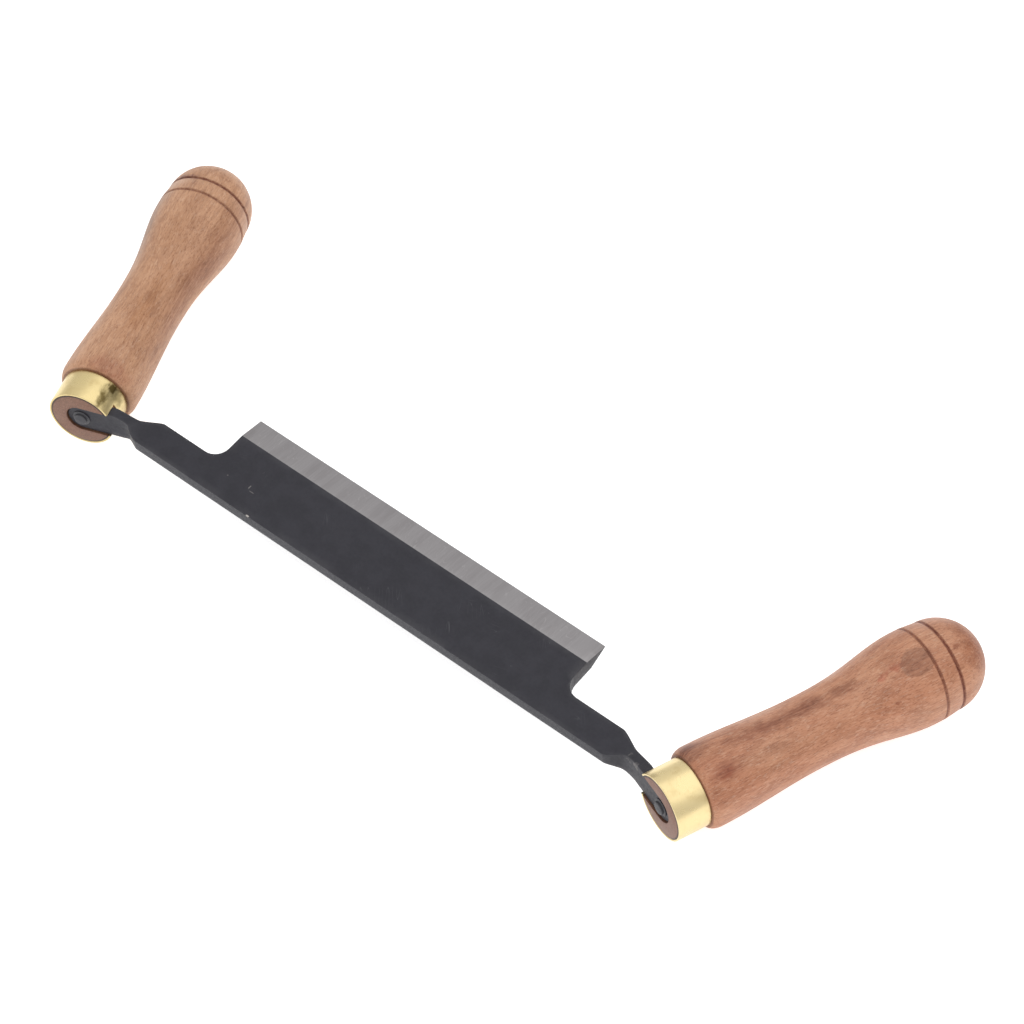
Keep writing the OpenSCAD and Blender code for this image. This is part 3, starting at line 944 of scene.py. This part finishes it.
def ground_steel(name):
    """Carbon steel ground on a belt: satin grey with fine grinding lines straight across the
    bevel, and a few longer stray ones."""
    material, tree, spot = new_material(name)
    lines = cloud(tree, spot, (0.35, 14, 14), 4.0, 0.7)
    stray = hairlines(tree, spot, 1.35, 14, 1.5, 0.6, 3)
    colour = coats(tree, linear("868384"), (
        ("9E9B9C", lines, "MIX"),
        ("7E7A7B", patches(tree, spot, (4, 30, 30), 3.0, 0.6, 2, 0.4, 0.7, 0.0, 0.35), "MIX"),
        ("B8B5B4", add(tree, "ShaderNodeMath", (stray, 0.25), operation="MULTIPLY"), "MIX"),
    ))
    finish_surface(tree, lines, 0.3, 0.02, {"Base Color": colour, "Metallic": 1.0, "Roughness": 0.38})
    return material


def pale_floor(name, hex_colour):
    """White acrylic sheet, softly lit from below: plain, and it keeps the shadows pale."""
    material, tree, _ = new_material(name)
    shader = add(tree, "ShaderNodeBsdfPrincipled", {
        "Base Color": linear(hex_colour), "Roughness": 0.9, "Specular IOR Level": 0.2,
        "Emission Color": (1, 1, 1, 1), "Emission Strength": 0.72})
    add(tree, "ShaderNodeOutputMaterial", {"Surface": shader})
    return material


# ---------------------------------------------------------------- operators

def settings():
    return bpy.context.scene.drawknife


def finish_piece(piece, node):
    """Checks that a piece is closed, hides the imported part of the same node, and puts the piece in its
    body.
    """
    bm = bmesh.new()
    bm.from_mesh(piece.data)
    leaks = sum(1 for edge in bm.edges if not edge.is_manifold)
    bm.free()
    if leaks:
        raise RuntimeError(f"{piece.name} has {leaks} open edges")
    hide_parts(node)
    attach(piece, "root")


def finish_turned(piece, side, matrix, node):
    """Finishes a piece that was turned along +Y, and puts it in its place."""
    smooth_by_angle(piece.data, 30)
    store_places(piece.data, Matrix.Identity(4))
    place(piece.data, matrix, side)
    finish_piece(piece, f"{node}_{side}")


class DRAWKNIFE_OT_blade(bpy.types.Operator):
    """Forge the blade with its arms, necks and eyes"""

    bl_idname = "drawknife.blade"
    bl_label = "Blade"

    def execute(self, context):
        chosen = settings()
        flat = blade_matrix(chosen.blade)
        on_handle = handle_matrix(chosen.handle)
        mesh = blade_mesh(chosen.blade, flat.inverted() @ on_handle)
        mesh.transform(flat)
        piece = new_piece("forged_blade", mesh)
        mesh.materials.append(black_oxide("Black oxide steel", STEEL_MARKS))
        mesh.materials.append(ground_steel("Ground steel"))
        bevel = piece.modifiers.new("Edge rounding", "BEVEL")
        bevel.limit_method = "WEIGHT"
        bevel.width = chosen.blade.edge_round
        bevel.segments = 3
        bevel.use_clamp_overlap = True
        bevel.harden_normals = False
        bake_modifiers(piece)
        bore_r = chosen.fitting.rod_diameter / 2 + CLEARANCE
        circle = [
            (bore_r * math.cos(2 * math.pi * i / 48), bore_r * math.sin(2 * math.pi * i / 48))
            for i in range(48)]
        for side in SIDES:
            bore = prism("bore", circle, -3 * MM, 9 * MM)
            place(bore, on_handle, side)
            cut(piece, bore, "Bore")
        store_wear_and_highlight(piece.data)
        store_places(piece.data, flat)
        smooth_by_angle(piece.data, 25)
        finish_piece(piece, "blade")
        return {"FINISHED"}


class DRAWKNIFE_OT_handles(bpy.types.Operator):
    """Turn the two beech handles and saw their slots"""

    bl_idname = "drawknife.handles"
    bl_label = "Handles"

    def execute(self, context):
        chosen = settings()
        blade, handle, fitting = chosen.blade, chosen.handle, chosen.fitting
        profile = handle_profile(handle, fitting)
        matrix = handle_matrix(handle)
        slot_depth = STRIP_AT + blade.strip_thickness
        colours = {"left": handle.left_colour, "right": handle.right_colour}
        billets = {"left": 11.3, "right": 0.0}
        centre, _, _ = butt_heights(handle, fitting)
        grooves = (handle.bulb_at + handle.groove_at, centre)
        for side in SIDES:
            wood = beech(
                f"Steamed beech {side}", colours[side], side, billets[side], grooves,
                handle.groove_width, fitting.ferrule_length,
                fitting.ferrule_diameter / 2 - fitting.ferrule_wall)
            piece = turn(f"turned_handle_{side}", profile, wood, chosen.steps_around)
            outline = slot_outline(20 * MM, blade.strip_height / 2 + 0.4 * MM)
            slot = prism("slot", outline, -1 * MM, slot_depth)
            cut(piece, slot, "Slot")
            finish_turned(piece, side, matrix, "handle")
        return {"FINISHED"}


class DRAWKNIFE_OT_ferrules(bpy.types.Operator):
    """Part off the two brass ferrules and file their notches"""

    bl_idname = "drawknife.ferrules"
    bl_label = "Ferrules"

    def execute(self, context):
        chosen = settings()
        matrix = handle_matrix(chosen.handle)
        half_height = chosen.blade.strip_height / 2 + 0.2 * MM
        reach = chosen.fitting.ferrule_diameter
        box = [(-reach, half_height), (0, half_height), (0, -half_height), (-reach, -half_height)]
        depth = 2.0 * MM + chosen.blade.strip_thickness
        colours = {"left": chosen.fitting.left_brass, "right": chosen.fitting.right_brass}
        for side in SIDES:
            metal = brass(f"Polished brass {side}", colours[side], BRASS_PAINTED_REFLECTIONS[side])
            piece = turn(f"brass_ferrule_{side}", ferrule_profile(chosen.fitting), metal, chosen.steps_around)
            cut(piece, prism("notch", box, -1 * MM, depth), "Notch")
            finish_turned(piece, side, matrix, "ferrule")
        return {"FINISHED"}


class DRAWKNIFE_OT_rods(bpy.types.Operator):
    """Rivet the two tang rods"""

    bl_idname = "drawknife.rods"
    bl_label = "Tang rods"

    def execute(self, context):
        chosen = settings()
        matrix = handle_matrix(chosen.handle)
        steel = black_oxide("Black oxide rod", shine=0.5)
        for side in SIDES:
            profile = rod_profile(chosen.handle, chosen.fitting)
            piece = turn(f"riveted_rod_{side}", profile, steel, chosen.steps_around)
            # The rods' sharp edges are painted lighter as a highlight on their heads
            store_wear_and_highlight(piece.data)
            finish_turned(piece, side, matrix, "tang_rod")
        return {"FINISHED"}


class DRAWKNIFE_OT_washers(bpy.types.Operator):
    """Seat the washer under each riveted rod end"""

    bl_idname = "drawknife.washers"
    bl_label = "Butt washers"

    def execute(self, context):
        chosen = settings()
        matrix = handle_matrix(chosen.handle)
        steel = ground_steel("Bright steel washer")
        for side in SIDES:
            profile = washer_profile(chosen.handle, chosen.fitting)
            piece = turn(f"steel_washer_{side}", profile, steel, chosen.steps_around)
            finish_turned(piece, side, matrix, "butt_washer")
        return {"FINISHED"}


class DRAWKNIFE_OT_stage(bpy.types.Operator):
    """Lay the floor, hang the lights and set the camera"""

    bl_idname = "drawknife.stage"
    bl_label = "Stage"

    def execute(self, context):
        chosen = settings().stage
        half = 3.0
        corners = [(-half, -half, 0), (half, -half, 0), (half, half, 0), (-half, half, 0)]
        mesh = bpy.data.meshes.new("floor")
        mesh.from_pydata(corners, [], [(0, 1, 2, 3)])
        mesh.materials.append(pale_floor("White acrylic", chosen.floor_colour))
        new_piece("floor", mesh)

        world = bpy.data.worlds.new("Soft room")
        world.use_nodes = True
        tree = world.node_tree
        tree.nodes.clear()
        # White walls and roof, with a dark screen low down behind the cutting edge
        spot = add(tree, "ShaderNodeTexCoord", out="Generated")
        height = add(tree, "ShaderNodeSeparateXYZ", [spot], "Z")
        sky = add(tree, "ShaderNodeMapRange", (height, 0.05, 0.9, 0.82, 0.97), **SMOOTH)
        behind = add(
            tree, "ShaderNodeVectorMath", (spot, (0.55, 0.83, 0.0)), "Value", operation="DOT_PRODUCT")
        behind = add(tree, "ShaderNodeMapRange", (behind, 0.6, 0.95), **SMOOTH)
        low = add(tree, "ShaderNodeMapRange", (height, 0.1, 0.5, 0.92, 0.0), **SMOOTH)
        screen = add(tree, "ShaderNodeMath", (behind, low), operation="MULTIPLY")
        clear = add(tree, "ShaderNodeMath", (1.0, screen), operation="SUBTRACT")
        sky = add(tree, "ShaderNodeMath", (sky, clear), operation="MULTIPLY")
        glow = add(tree, "ShaderNodeBackground", {"Color": (1, 1, 1, 1), "Strength": sky})
        add(tree, "ShaderNodeOutputWorld", {"Surface": glow})
        context.scene.world = world

        key = bpy.data.lights.new("key", "AREA")
        key.shape = "SQUARE"
        key.size = 2.4
        key.energy = 9
        lamp = bpy.data.objects.new("key", key)
        lamp.location = (0.42, 0.51, 1.67)
        lamp.rotation_mode = "QUATERNION"
        lamp.rotation_quaternion = (-lamp.location).to_track_quat("-Z", "Y")
        context.scene.collection.objects.link(lamp)

        lens = bpy.data.cameras.new("camera")
        lens.sensor_width = 36
        lens.lens = chosen.lens
        lens.clip_start, lens.clip_end = 0.05, 20
        camera = bpy.data.objects.new("camera", lens)
        a, e = chosen.azimuth, chosen.elevation
        back = Vector((math.sin(a) * math.cos(e), -math.cos(a) * math.cos(e), math.sin(e)))
        camera.location = Vector(chosen.aim) + back * chosen.distance
        camera.rotation_mode = "QUATERNION"
        camera.rotation_quaternion = (-back).to_track_quat("-Z", "Y")
        context.scene.collection.objects.link(camera)
        context.scene.camera = camera
        context.scene.view_settings.view_transform = "Standard"
        return {"FINISHED"}


class DRAWKNIFE_PT_panel(bpy.types.Panel):
    """Lists the pieces in the order they are made"""

    bl_idname = "DRAWKNIFE_PT_panel"
    bl_label = "Drawknife"
    bl_space_type = "VIEW_3D"
    bl_region_type = "UI"
    bl_category = "Drawknife"

    def draw(self, context):
        chosen = settings()
        for title, group, operators in (
            ("Blade", chosen.blade, PIECES[:1]),
            ("Handles", chosen.handle, PIECES[1:2]),
            ("Fittings", chosen.fitting, PIECES[2:5]),
            ("Stage", chosen.stage, PIECES[5:]),
        ):
            box = self.layout.box()
            box.label(text=title)
            for name in group.bl_rna.properties.keys():
                if name not in ("rna_type", "name"):
                    box.prop(group, name)
            for operator in operators:
                box.operator(operator.bl_idname)


PIECES = (
    DRAWKNIFE_OT_blade,
    DRAWKNIFE_OT_handles,
    DRAWKNIFE_OT_ferrules,
    DRAWKNIFE_OT_rods,
    DRAWKNIFE_OT_washers,
    DRAWKNIFE_OT_stage,
)
CLASSES = (
    BladeSettings, HandleSettings, FittingSettings, StageSettings, DrawknifeSettings,
    *PIECES, DRAWKNIFE_PT_panel,
)


def register():
    for cls in CLASSES:
        bpy.utils.register_class(cls)
    bpy.types.Scene.drawknife = PointerProperty(type=DrawknifeSettings)


def unregister():
    del bpy.types.Scene.drawknife
    for cls in reversed(CLASSES):
        bpy.utils.unregister_class(cls)


def main():
    register()
    bpy.ops.drawknife.blade()
    bpy.ops.drawknife.handles()
    bpy.ops.drawknife.ferrules()
    bpy.ops.drawknife.rods()
    bpy.ops.drawknife.washers()
    bpy.ops.drawknife.stage()


if __name__ == "__main__":
    main()
